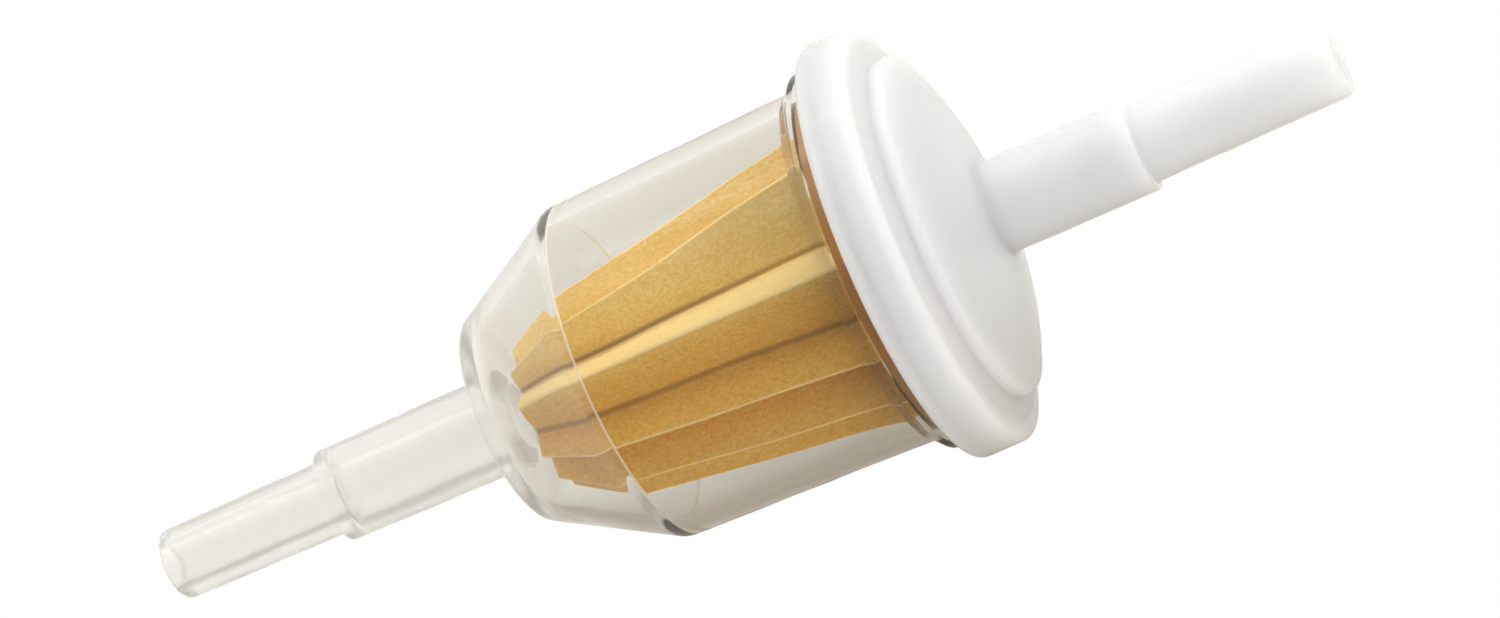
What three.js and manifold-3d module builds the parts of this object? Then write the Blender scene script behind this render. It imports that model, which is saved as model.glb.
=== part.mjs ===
// In-line fuel filter for a small engine, as an assembly of separate solids.
//
// A clear moulded bowl and a milky moulded cap close round a star-shaped cone of
// pleated filter paper. Each moulding ends in a stepped hose spigot with a through
// bore, so the same filter takes two hose sizes. Fuel enters the bowl, passes
// through the paper from outside to inside, and leaves through the mouth ring and
// the cap. The whole filter is sealed by a weld between the bowl's collar and the
// cap's skirt, and nothing in it moves.
//
// Units are millimetres. The filter's axis is +X, from the bowl's spigot to the
// cap's spigot. Stations along the axis are counted from the bowl's flat base.

import * as THREE from "three";
import { mergeVertices } from "three/addons/utils/BufferGeometryUtils.js";
import Module from "manifold-3d";

// ---------------------------------------------------------------------------
// Driving dimensions
// ---------------------------------------------------------------------------

const wall = 1.4; // moulded wall of the bowl and the cap
const seamGap = 0.15; // what two pieces that seat on each other keep between them

// One hose spigot: a long end for a small hose, then a larger step for a big hose.
const bowlSpigot = {
  smallLength: 15.75,
  bigLength: 16.75,
  tipRadius: 3.14,
  smallRootRadius: 3.26,
  bigEndRadius: 4.09,
  bigRootRadius: 4.23,
  smallBore: 1.75,
  bigBore: 2.75,
  tipRound: 1.1,
  shoulderRound: 0.5,
};
const capSpigot = {
  smallLength: 17.7,
  bigLength: 13.08,
  tipRadius: 3.14,
  smallRootRadius: 3.35,
  bigEndRadius: 3.98,
  bigRootRadius: 4.0,
  smallBore: 1.75,
  bigBore: 2.6,
  tipRound: 1.1,
  shoulderRound: 0.5,
};

// Bowl: flat base, cone, drafted cylinder and the collar that the cap goes over.
const bowl = {
  baseRadius: 8.98,
  baseRound: 1.45,
  baseWall: 1.6,
  coneLength: 10.9,
  shoulderRadius: 15.0,
  shoulderRound: 0.2,
  mouthRadius: 15.62,
  bodyLength: 33.7, // base to where the collar starts
  chamferLength: 1.26,
  collarStep: 1.23, // how far the collar stands out from the body's mouth
  collarLength: 4.5, // from the start of the chamfer to the open end
  ringPocketDepth: 3.35,
  ringPocketWall: 1.95,
};

// Cap: a rim with a skirt round the collar, a shallow dome and the outlet spigot.
const cap = {
  skirtWall: 1.6,
  skirtRound: 0.88,
  faceRound: 0.67,
  skirtLap: 1.8, // how far the skirt reaches back over the collar
  rimWall: 1.2, // flange left between the seat and the rim's outer face
  faceRise: 0.66, // how much the rim's outer face slopes up towards the dome
  ledge: 3.43, // flat ring between the rim's edge and the dome
  domeHeight: 4.52, // above the foot of the dome
  domeSphere: 35.66,
  domeRound: 1.85,
  rootRound: 0.8,
};

// Weld: a ring of melted plastic held in a groove inside the skirt.
const weld = { grooveWidth: 0.9, grooveDepth: 0.5, fromMouthEnd: 0.1 };

// Mouth ring: holds the open end of the paper, clamped between collar and cap.
const mouthRing = { flange: 1.2, skirtWall: 0.9, openingRadius: 7.6 };

// Pleated paper: a star with straight folds, gathered in at its closed end.
const paper = {
  thickness: 0.55,
  openClearance: 0.05, // from the folds' sharp corners to the mouth ring's skirt
  bendClearance: 1.49, // from the same corners to the bowl's cone at the bend
  closedClearance: 1.86, // and at the closed end
  bendLength: 4.8, // of the gathered end
  closedEndGap: 1.9, // from the bowl's inner base to the closed end
  valleyRatio: 0.7, // valley radius over peak radius at the open end
  closedValleyRatio: 0.62,
  foldFlat: 0.2, // how far back from a fold's apex its rounded crest is cut
  openLean: 0.5, // how far the star sits off the axis at each end, towards -Y
  closedLean: 1.2,
  gatherLean: 0.35, // how much of it is taken back at the very end
};
// The pleats are folded by hand-fed rollers, so they are not evenly spaced. Each
// angle is a fold crest, in degrees from +Z towards -Y, at the open and closed end.
const openCrests = [-82, -52.5, -5, 32, 55, 88, 121, 154, 186, 217, 248];
const closedCrests = [-78, -43, -13, 28, 56, 88, 121, 153, 186, 218, 250];
// How far each valley lies from half way between its two crests, in degrees.
const openValleyShifts = [0, 9, 6.5, 0, 0, 0, 0, 0, 0, 0, 0];
const closedValleyShifts = [0, -8, 5, 0, 0, 0, 0, 0, 0, 0, 0];

const plug = { length: 1.6, inset: 0.4 };
const seam = { thickness: 0.35, from: 0.25, to: 0.75, pleat: 8, endMargin: 2.0 };

const turns = 48; // sides of a turned solid
const arcSteps = 4; // straight steps in a rounded corner
const domeSteps = 6;

// ---------------------------------------------------------------------------
// Stations and sizes that follow from the ones above
// ---------------------------------------------------------------------------

const collarStart = bowl.bodyLength;
const mouthEnd = collarStart + bowl.collarLength;
const pocketFloor = mouthEnd - bowl.ringPocketDepth;
const collarRadius = bowl.mouthRadius + bowl.collarStep;
const pocketRadius = collarRadius - bowl.ringPocketWall;
const ringFace = mouthEnd + seamGap;
const capSeat = ringFace + mouthRing.flange + seamGap;
const rimFace = capSeat + cap.rimWall;
const skirtEdge = mouthEnd - cap.skirtLap;
const skirtBore = collarRadius + seamGap;
const rimRadius = skirtBore + cap.skirtWall;
const domeRadius = rimRadius - cap.ledge;
const grooveEnd = mouthEnd - weld.fromMouthEnd;
const grooveStart = grooveEnd - weld.grooveWidth;
const domeFoot = rimFace + cap.faceRise;
const domeTop = domeFoot + cap.domeHeight;
const bowlTip = -bowlSpigot.bigLength - bowlSpigot.smallLength;
const capShoulder = domeTop + capSpigot.bigLength;
const capTip = capShoulder + capSpigot.smallLength;
const middle = (bowlTip + capTip) / 2;

// Inner faces of the bowl lie one wall inside the outer ones, measured square to each.
const coneSlope = (bowl.shoulderRadius - bowl.baseRadius) / bowl.coneLength;
const draft = (bowl.mouthRadius - bowl.shoulderRadius) / (bowl.bodyLength - bowl.coneLength);
const innerCone = (x) => bowl.baseRadius + coneSlope * x - wall * Math.hypot(1, coneSlope);
const innerBody = (x) =>
  bowl.shoulderRadius + draft * (x - bowl.coneLength) - wall * Math.hypot(1, draft);

// The mouth ring's skirt stands in the bowl's pocket, and the paper stands in the ring.
const ringOuter = pocketRadius - seamGap;
const ringInner = ringOuter - mouthRing.skirtWall;

// The paper's ends and bend, and the fold crests' radius there, clear of what is round them.
const paperStart = bowl.baseWall + paper.closedEndGap;
const paperBend = paperStart + paper.bendLength;
const paperEnd = ringFace - seamGap;
const leanAt = (along) => THREE.MathUtils.lerp(paper.closedLean, paper.openLean, along);
const bendLean = leanAt((paperBend - paperStart) / (paperEnd - paperStart));
const openPeakRadius = ringInner - paper.openLean - paper.openClearance;
const bendPeakRadius = innerCone(paperBend) - bendLean - paper.bendClearance;
const closedPeakRadius =
  innerCone(paperStart) - (paper.closedLean - paper.gatherLean) - paper.closedClearance;

/** Height of a point of a sphere cap at a radius, below the sphere's top. */
const sag = (sphere, radius) => sphere - Math.sqrt(sphere ** 2 - radius ** 2);

// ---------------------------------------------------------------------------
// Turned pieces
// ---------------------------------------------------------------------------

/** Points of an outline given as [station, radius, round], with its corners rounded. */
function roundedOutline(corners) {
  const outline = [];
  corners.forEach(([station, radius, round], i) => {
    const here = new THREE.Vector2(station, radius);
    if (!round) {
      outline.push(here);
      return;
    }
    const before = new THREE.Vector2(...corners.at(i - 1)).sub(here);
    const after = new THREE.Vector2(...corners[(i + 1) % corners.length]).sub(here);
    const reach = 0.48 * Math.min(before.length(), after.length());
    before.normalize();
    after.normalize();
    const half = Math.acos(THREE.MathUtils.clamp(before.dot(after), -1, 1)) / 2;
    const back = Math.min(round / Math.tan(half), reach);
    const start = here.clone().addScaledVector(before, back);
    const end = here.clone().addScaledVector(after, back);
    const centre = start
      .clone()
      .add(end)
      .sub(here.clone().multiplyScalar(2))
      .normalize()
      .multiplyScalar(back / Math.cos(half))
      .add(here);
    const from = start.clone().sub(centre);
    const to = end.clone().sub(centre);
    const sweep = Math.atan2(from.cross(to), from.dot(to));
    for (let k = 0; k <= arcSteps; k++) {
      outline.push(from.clone().rotateAround(new THREE.Vector2(), (sweep * k) / arcSteps).add(centre));
    }
  });
  return outline;
}

/** A closed solid of revolution about X from a closed outline of corners. */
function turned(corners) {
  const profile = roundedOutline(corners).map((p) => new THREE.Vector2(p.y, p.x));
  profile.push(profile[0].clone());
  return new THREE.LatheGeometry(profile, turns).rotateZ(-Math.PI / 2);
}

/** Outer corners of a spigot from its tip's bore edge to its root, given going outwards. */
function spigotOutside(spigot, root, way) {
  const shoulder = root + way * spigot.bigLength;
  const tip = shoulder + way * spigot.smallLength;
  return [
    [tip, spigot.smallBore],
    [tip, spigot.tipRadius, spigot.tipRound],
    [shoulder, spigot.smallRootRadius],
    [shoulder, spigot.bigEndRadius, spigot.shoulderRound],
  ];
}

/** Corners of a spigot's stepped bore, from where it opens inside to its small end. */
function spigotBore(spigot, root, way, inside) {
  const step = root + way * (spigot.bigLength - wall);
  return [
    [inside, spigot.bigBore],
    [step, spigot.bigBore],
    [step, spigot.smallBore],
  ];
}

function bowlGeometry() {
  const innerCorner = (innerBody(0) - innerCone(0)) / (coneSlope - draft);
  return turned([
    ...spigotOutside(bowlSpigot, 0, -1),
    [0, bowlSpigot.bigRootRadius],
    [0, bowl.baseRadius, bowl.baseRound],
    [bowl.coneLength, bowl.shoulderRadius, bowl.shoulderRound],
    [collarStart, bowl.mouthRadius],
    [collarStart + bowl.chamferLength, collarRadius],
    [mouthEnd, collarRadius],
    [mouthEnd, pocketRadius],
    [pocketFloor, pocketRadius],
    [pocketFloor, innerBody(pocketFloor)],
    [innerCorner, innerBody(innerCorner), bowl.shoulderRound],
    [bowl.baseWall, innerCone(bowl.baseWall), bowl.baseRound / 2],
    ...spigotBore(bowlSpigot, 0, -1, bowl.baseWall),
  ]);
}

function capGeometry() {
  const dome = [];
  const edge = domeRadius - cap.domeRound * 1.15;
  for (let k = 0; k <= domeSteps; k++) {
    const radius = THREE.MathUtils.lerp(edge, capSpigot.bigRootRadius + cap.rootRound, k / domeSteps);
    dome.push([domeTop - sag(cap.domeSphere, radius), radius]);
  }
  const insideSphere = cap.domeSphere - wall;
  const insideEdge = domeRadius - wall;
  const inside = [];
  for (let k = 0; k <= domeSteps; k++) {
    const radius = THREE.MathUtils.lerp(capSpigot.bigBore, insideEdge - 0.8, k / domeSteps);
    inside.push([domeTop - wall - sag(insideSphere, radius), radius]);
  }
  const grooveRadius = skirtBore + weld.grooveDepth;
  const outside = [
    [skirtEdge, skirtBore],
    [skirtEdge, rimRadius, cap.skirtRound],
    [rimFace, rimRadius - 0.1, cap.faceRound],
    [rimFace + 0.12, rimRadius - 1.6],
    [domeFoot, domeRadius],
    [domeTop - sag(cap.domeSphere, domeRadius), domeRadius, cap.domeRound],
    ...dome.slice(0, -1),
    [domeTop - sag(cap.domeSphere, capSpigot.bigRootRadius), capSpigot.bigRootRadius, cap.rootRound],
    ...spigotOutside(capSpigot, domeTop, 1).reverse(),
  ];
  return turned([
    ...outside,
    ...spigotBore(capSpigot, domeTop, 1, inside[0][0]).reverse(),
    ...inside.slice(1),
    [capSeat + 0.6, insideEdge],
    [capSeat, insideEdge],
    [capSeat, skirtBore],
    [grooveEnd, skirtBore],
    [grooveEnd, grooveRadius],
    [grooveStart, grooveRadius],
    [grooveStart, skirtBore],
  ]);
}

function mouthRingGeometry() {
  const flangeOuter = skirtBore - seamGap;
  const flangeEnd = ringFace + mouthRing.flange;
  return turned([
    [pocketFloor + seamGap, ringInner],
    [pocketFloor + seamGap, ringOuter],
    [ringFace, ringOuter],
    [ringFace, flangeOuter],
    [flangeEnd, flangeOuter],
    [flangeEnd, mouthRing.openingRadius],
    [ringFace, mouthRing.openingRadius],
    [ringFace, ringInner],
  ]);
}

function weldRingGeometry() {
  const start = grooveStart + seamGap;
  const end = grooveEnd - seamGap;
  const inner = collarRadius + seamGap / 2;
  const outer = skirtBore + weld.grooveDepth - seamGap;
  return turned([
    [start, inner],
    [start, outer],
    [end, outer],
    [end, inner],
  ]);
}

// ---------------------------------------------------------------------------
// The paper star and what is glued to it
// ---------------------------------------------------------------------------

/** Centre, radii, crest angles and valley shifts of the star at a station. */
function starAt(x) {
  const along = (x - paperStart) / (paperEnd - paperStart);
  const straight = Math.min(1, (x - paperBend) / (pocketFloor - paperBend));
  let peak = THREE.MathUtils.lerp(bendPeakRadius, openPeakRadius, straight);
  let lean = leanAt(along);
  if (x < paperBend) {
    const inward = (paperBend - x) / paper.bendLength;
    peak = bendPeakRadius - inward * (bendPeakRadius - closedPeakRadius);
    lean -= paper.gatherLean * inward;
  }
  const ratio = THREE.MathUtils.lerp(paper.closedValleyRatio, paper.valleyRatio, along);
  const between = (closed, open) => open.map((v, i) => THREE.MathUtils.lerp(closed[i], v, along));
  const crests = between(closedCrests, openCrests);
  const shifts = between(closedValleyShifts, openValleyShifts);
  return { lean, peak, valley: peak * ratio, crests, shifts };
}

/** Sharp corners of the star's outline at a station, crest and valley by turns. */
function starCorners(x) {
  const { peak, valley, crests, shifts } = starAt(x);
  const at = (angle, radius) => {
    const turn = THREE.MathUtils.degToRad(angle);
    return new THREE.Vector2(-radius * Math.sin(turn), radius * Math.cos(turn));
  };
  return crests.flatMap((angle, i) => {
    const next = i + 1 < crests.length ? crests[i + 1] : crests[0] + 360;
    return [at(angle, peak), at((angle + next) / 2 + shifts[i], valley)];
  });
}

/** The outline moved inwards by a distance, each corner where its two moved sides meet. */
function movedIn(corners, distance) {
  const count = corners.length;
  return corners.map((corner, i) => {
    const a = corner.clone().sub(corners[(i + count - 1) % count]).normalize();
    const b = corners[(i + 1) % count].clone().sub(corner).normalize();
    const inA = new THREE.Vector2(-a.y, a.x);
    const inB = new THREE.Vector2(-b.y, b.x);
    return corner.clone().addScaledVector(inA.clone().add(inB), distance / (1 + inA.dot(inB)));
  });
}

/** The outline with every crest cut flat, as a rounded fold is. */
function cutCrests(corners, back) {
  const count = corners.length;
  return corners.flatMap((corner, i) => {
    if (i % 2) return [corner];
    const to = (other) => other.clone().sub(corner).setLength(back).add(corner);
    return [to(corners[(i + count - 1) % count]), to(corners[(i + 1) % count])];
  });
}

/** A closed solid through sections of points (y, z) at stations, off the axis by lean. */
function loft(sections) {
  const count = sections[0].points.length;
  const positions = [];
  for (const { x, lean, points } of sections) {
    for (const p of points) positions.push(x, p.x - lean, p.y);
  }
  const middles = [sections[0], sections.at(-1)].map(({ x, lean, points }) => {
    const centre = points.reduce((sum, p) => sum.add(p), new THREE.Vector2());
    centre.divideScalar(count);
    positions.push(x, centre.x - lean, centre.y);
    return positions.length / 3 - 1;
  });
  const index = [];
  const last = (sections.length - 1) * count;
  for (let i = 0; i < count; i++) {
    const j = (i + 1) % count;
    for (let row = 0; row < last; row += count) {
      index.push(row + i, row + j, row + count + i, row + j, row + count + j, row + count + i);
    }
    index.push(middles[0], j, i, middles[1], last + i, last + j);
  }
  const geometry = new THREE.BufferGeometry();
  geometry.setAttribute("position", new THREE.Float32BufferAttribute(positions, 3));
  geometry.setIndex(index);
  return geometry;
}

const wasm = await Module();
wasm.setup();

/** A three.js geometry as a manifold-3d solid. */
function solid(geometry) {
  const bare = geometry.clone();
  bare.deleteAttribute("normal");
  bare.deleteAttribute("uv");
  const merged = mergeVertices(bare);
  const vertProperties = new Float32Array(merged.attributes.position.array);
  const triVerts = new Uint32Array(merged.index.array);
  return new wasm.Manifold(new wasm.Mesh({ numProp: 3, vertProperties, triVerts }));
}

/** A manifold-3d solid as a three.js geometry. */
function geometryOf(body) {
  const mesh = body.getMesh();
  const geometry = new THREE.BufferGeometry();
  geometry.setAttribute("position", new THREE.Float32BufferAttribute(mesh.vertProperties, 3));
  geometry.setIndex(Array.from(mesh.triVerts));
  return geometry;
}

/** Stations of the star's sections: the gathered end, the slope and the part in the ring. */
function paperStations() {
  const stations = [0, 0.25, 0.5, 0.75].map((share) => paperStart + share * paper.bendLength);
  const straightSteps = 4;
  for (let k = 0; k <= straightSteps; k++) {
    stations.push(THREE.MathUtils.lerp(paperBend, pocketFloor, k / straightSteps));
  }
  return [...stations, paperEnd];
}

/** Sections of the star moved in by a distance, at stations that may pass the paper's ends. */
function starSections(stations, distance, cut) {
  return stations.map((x) => {
    const at = THREE.MathUtils.clamp(x, paperStart, paperEnd);
    const inset = distance ? movedIn(starCorners(at), distance) : starCorners(at);
    return { x, lean: starAt(at).lean, points: cut ? cutCrests(inset, cut) : inset };
  });
}

function paperGeometry() {
  const stations = paperStations();
  const overrun = 1;
  const through = [paperStart - overrun, ...stations, paperEnd + overrun];
  const outside = solid(loft(starSections(stations, 0, paper.foldFlat)));
  const inside = solid(loft(starSections(through, paper.thickness, 0)));
  return geometryOf(outside.subtract(inside));
}

function plugGeometry() {
  const start = paperStart + plug.inset;
  const stations = [start, start + plug.length / 2, start + plug.length];
  return loft(starSections(stations, paper.thickness + seamGap, paper.foldFlat));
}

/** A strip glued along the outer face of one facet, over most of its width. */
function seamGeometry() {
  const stations = paperStations().slice(4, -1);
  stations[stations.length - 1] = pocketFloor - seam.endMargin;
  const sections = stations.map((x) => {
    const corners = starCorners(x);
    const crest = corners[2 * seam.pleat];
    const valley = corners[2 * seam.pleat + 1];
    const along = valley.clone().sub(crest);
    const out = new THREE.Vector2(along.y, -along.x).normalize();
    const place = (share, height) =>
      crest.clone().addScaledVector(along, share).addScaledVector(out, height);
    const top = seamGap + seam.thickness;
    const points = [
      place(seam.from, seamGap),
      place(seam.from, top),
      place(seam.to, top),
      place(seam.to, seamGap),
    ];
    return { x, lean: starAt(x).lean, points };
  });
  return loft(sections);
}

// ---------------------------------------------------------------------------
// The assembly
// ---------------------------------------------------------------------------

const filter = new THREE.Group();

function addPiece(name, geometry, look) {
  const mesh = new THREE.Mesh(geometry, new THREE.MeshStandardMaterial({ metalness: 0, ...look }));
  mesh.name = name;
  mesh.position.x = -middle;
  filter.add(mesh);
}

addPiece("bowl", bowlGeometry(), { color: 0xdedcd3, roughness: 0.2, transparent: true, opacity: 0.35 });
addPiece("cap", capGeometry(), { color: 0xeceff2, roughness: 0.35 });
addPiece("pleated_paper", paperGeometry(), { color: 0xd2a55c, roughness: 0.9 });
addPiece("paper_seam", seamGeometry(), { color: 0xe3c489, roughness: 0.6 });
addPiece("end_plug", plugGeometry(), { color: 0xe8e2cf, roughness: 0.5 });
addPiece("mouth_ring", mouthRingGeometry(), { color: 0x9b7350, roughness: 0.4 });
addPiece("weld_ring", weldRingGeometry(), { color: 0xd9d6cc, roughness: 0.3 });

export default filter;
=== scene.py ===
"""Looks of an in-line fuel filter: a clear bowl and a milky cap round a pleated paper cone.

Sizes are in millimetres. The filter's axis is +X, and stations along it are counted from
the bowl's flat base. Angles round the axis start at +Z and grow towards -Y.
"""

import logging
import math
from dataclasses import dataclass, field
from enum import Enum

import bpy
import numpy as np
from mathutils import Matrix, Vector


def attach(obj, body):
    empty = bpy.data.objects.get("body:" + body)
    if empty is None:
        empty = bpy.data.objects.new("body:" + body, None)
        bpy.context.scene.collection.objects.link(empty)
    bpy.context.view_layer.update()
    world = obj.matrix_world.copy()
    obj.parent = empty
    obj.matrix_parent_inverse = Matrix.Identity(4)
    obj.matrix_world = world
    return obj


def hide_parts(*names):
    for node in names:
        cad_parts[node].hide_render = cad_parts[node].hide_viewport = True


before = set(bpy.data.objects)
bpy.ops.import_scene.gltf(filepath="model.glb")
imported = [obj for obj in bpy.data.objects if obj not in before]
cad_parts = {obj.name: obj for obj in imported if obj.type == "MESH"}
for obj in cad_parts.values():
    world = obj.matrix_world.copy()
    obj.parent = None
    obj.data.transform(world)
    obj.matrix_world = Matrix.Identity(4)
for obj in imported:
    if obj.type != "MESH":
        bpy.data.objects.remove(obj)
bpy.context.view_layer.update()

log = logging.getLogger("fuel_filter")

MM = 0.001
MIDDLE = 22.18  # station of the frame's origin
BODY = "root"
SEAM_GAP = 0.15
WALL = 1.4

Corner = tuple[float, float, float]
Colour = tuple[float, float, float, float]


# ---------------------------------------------------------------------------
# Shapes as arrays
# ---------------------------------------------------------------------------


def rounded_outline(corners: list[Corner], steps: int, edge: float) -> np.ndarray:
    """A closed outline with each corner replaced by the arc that touches both its sides.

    The arc's ends lie back from the corner by radius / tan(half the corner's angle).

    Args:
        corners: (station, radius, rounding) by turns; a rounding of 0 takes the edge value.
        steps: straight steps in each arc.
        edge: rounding of a plain moulded edge.

    Returns:
        Points (station, radius), one row each.
    """
    places = np.array([c[:2] for c in corners])
    points = []
    for i, (_, _, fillet) in enumerate(corners):
        here = places[i]
        before = places[i - 1] - here
        after = places[(i + 1) % len(places)] - here
        reach = 0.48 * min(np.linalg.norm(before), np.linalg.norm(after))
        before = before / np.linalg.norm(before)
        after = after / np.linalg.norm(after)
        half = math.acos(np.clip(before @ after, -1, 1)) / 2
        if half > math.radians(88):
            points.append(here[None])
            continue
        back = min((fillet or edge) / math.tan(half), reach)
        inward = (before + after) / np.linalg.norm(before + after)
        centre = here + inward * back / math.cos(half)
        start = here + before * back - centre
        end = here + after * back - centre
        sweep = math.atan2(start[0] * end[1] - start[1] * end[0], start @ end)
        turn = np.linspace(0, sweep, steps + 1)
        arc = np.stack(
            [
                start[0] * np.cos(turn) - start[1] * np.sin(turn),
                start[0] * np.sin(turn) + start[1] * np.cos(turn),
            ],
            axis=1,
        )
        points.append(centre + arc)
    return np.concatenate(points)


def cut_finely(outline: np.ndarray, longest: float) -> np.ndarray:
    """The closed outline with its long sides cut into equal steps no longer than a limit."""
    following = np.roll(outline, -1, axis=0)
    parts = np.ceil(np.linalg.norm(following - outline, axis=1) / longest).astype(int)
    parts = np.maximum(parts, 1)
    side = np.repeat(np.arange(len(outline)), parts)
    first = np.repeat(np.cumsum(parts) - parts, parts)
    share = (np.arange(len(side)) - first) / parts[side]
    return outline[side] + share[:, None] * (following - outline)[side]


def grid_faces(rows: int, columns: int, loop: bool) -> np.ndarray:
    """Quads of a grid whose columns close on themselves, and whose rows do if loop is set."""
    row = np.arange(rows if loop else rows - 1)[:, None]
    column = np.arange(columns)[None, :]
    above = ((row + 1) % rows) * columns
    beside = (column + 1) % columns
    here = row * columns
    quads = np.stack(
        [here + column, here + beside, above + beside, above + column], axis=-1
    )
    return quads.reshape(-1, 4)


def turned(outline: np.ndarray, turns: int, ripple: float = 0.0) -> "Surface":
    """A closed outline carried once round the axis.

    A point at angle a is (station, -r sin a, r cos a), and r carries a faint ripple of
    three slow waves along and round the piece, as a real moulding does.
    """
    angle = np.arange(turns)[:, None] * 2 * math.pi / turns
    station = outline[None, :, 0]
    waves = (
        np.sin(station * 0.31 + 2 * angle)
        + np.sin(station * 0.73 - 3 * angle + 1.3)
        + np.sin(station * 1.17 + angle + 4.1)
    )
    radius = outline[None, :, 1] + ripple * waves
    points = np.stack(
        [
            np.broadcast_to(station, radius.shape),
            -radius * np.sin(angle),
            radius * np.cos(angle),
        ],
        axis=-1,
    )
    return Surface(points.reshape(-1, 3), grid_faces(turns, len(outline), True))


def filled_tube(rings: np.ndarray) -> "Surface":
    """Rings of points joined row to row, with each end ring closed by a fan to its middle."""
    rows, columns, _ = rings.shape
    middles = rings[[0, -1]].mean(axis=1)
    points = np.concatenate([rings.reshape(-1, 3), middles])
    first = np.arange(columns)
    following = (first + 1) % columns
    last = (rows - 1) * columns
    hub = rows * columns
    start = np.stack([following, first, np.full(columns, hub)], axis=1)
    end = np.stack([last + first, last + following, np.full(columns, hub + 1)], axis=1)
    return Surface(points, grid_faces(rows, columns, False), np.concatenate([start, end]))


@dataclass
class Surface:
    """Points in millimetres with the quads and triangles that join them."""

    points: np.ndarray
    quads: np.ndarray
    triangles: np.ndarray = field(default_factory=lambda: np.zeros((0, 3), int))
    attributes: dict[str, np.ndarray] = field(default_factory=dict)
    zones: np.ndarray | None = None  # which of its finishes each face takes

    def volume(self) -> float:
        """Signed volume: a sixth of the sum of each triangle's corner determinant."""
        halves = np.concatenate(
            [self.quads[:, [0, 1, 2]], self.quads[:, [0, 2, 3]], self.triangles]
        )
        a, b, c = (self.points[halves[:, k]] for k in range(3))
        return float(np.einsum("ij,ij->i", a, np.cross(b, c)).sum() / 6)

    def outward(self) -> "Surface":
        """The same surface with its faces turned to point out of the solid."""
        if self.volume() < 0:
            self.quads = self.quads[:, ::-1]
            self.triangles = self.triangles[:, ::-1]
        return self

    def mesh(self, name: str, crease: float) -> bpy.types.Mesh:
        """Writes the surface into a mesh in metres.

        Args:
            name: the mesh's name.
            crease: angle in degrees past which an edge is shaded sharp.

        Returns:
            The new mesh, smooth apart from its sharp edges.
        """
        place = (self.points - np.array([MIDDLE, 0, 0])) * MM
        mesh = bpy.data.meshes.new(name)
        mesh.vertices.add(len(place))
        mesh.vertices.foreach_set("co", place.astype(np.float32).ravel())
        corners = np.concatenate([self.quads.ravel(), self.triangles.ravel()])
        sizes = np.concatenate(
            [np.full(len(self.quads), 4), np.full(len(self.triangles), 3)]
        )
        mesh.loops.add(len(corners))
        mesh.loops.foreach_set("vertex_index", corners.astype(np.int32))
        mesh.polygons.add(len(sizes))
        starts = np.cumsum(sizes) - sizes
        mesh.polygons.foreach_set("loop_start", starts.astype(np.int32))
        mesh.update(calc_edges=True)
        mesh.polygons.foreach_set("use_smooth", np.ones(len(sizes), bool))
        mesh.set_sharp_from_angle(angle=math.radians(crease))
        if self.zones is not None:
            mesh.polygons.foreach_set("material_index", self.zones.astype(np.int32))
        for key, values in self.attributes.items():
            layer = mesh.attributes.new(key, "FLOAT", "POINT")
            layer.data.foreach_set("value", values.astype(np.float32))
        mesh.update()
        return mesh


def add_piece(
    name: str,
    surface: Surface,
    finish: "Finish",
    nodes: tuple[str, ...],
    crease: float = 40.0,
    others: tuple["Finish", ...] = (),
) -> bpy.types.Object:
    """Makes a surface a piece of the filter, dressed and tied to the frame.

    Args:
        name: the piece's name.
        surface: its shape.
        finish: the finish that dresses it.
        nodes: the CAD nodes that it stands for.
        crease: angle in degrees past which an edge is shaded sharp.
        others: the finishes of its zones from 1 up.

    Returns:
        The new object.
    """
    mesh = surface.outward().mesh(name, crease)
    for zone in (finish, *others):
        mesh.materials.append(zone.material())
    piece = bpy.data.objects.new(name, mesh)
    bpy.context.scene.collection.objects.link(piece)
    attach(piece, BODY)
    if nodes:
        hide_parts(*nodes)
    log.info("%s: %d faces", name, len(mesh.polygons))
    return piece


# ---------------------------------------------------------------------------
# Finishes
# ---------------------------------------------------------------------------


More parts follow.
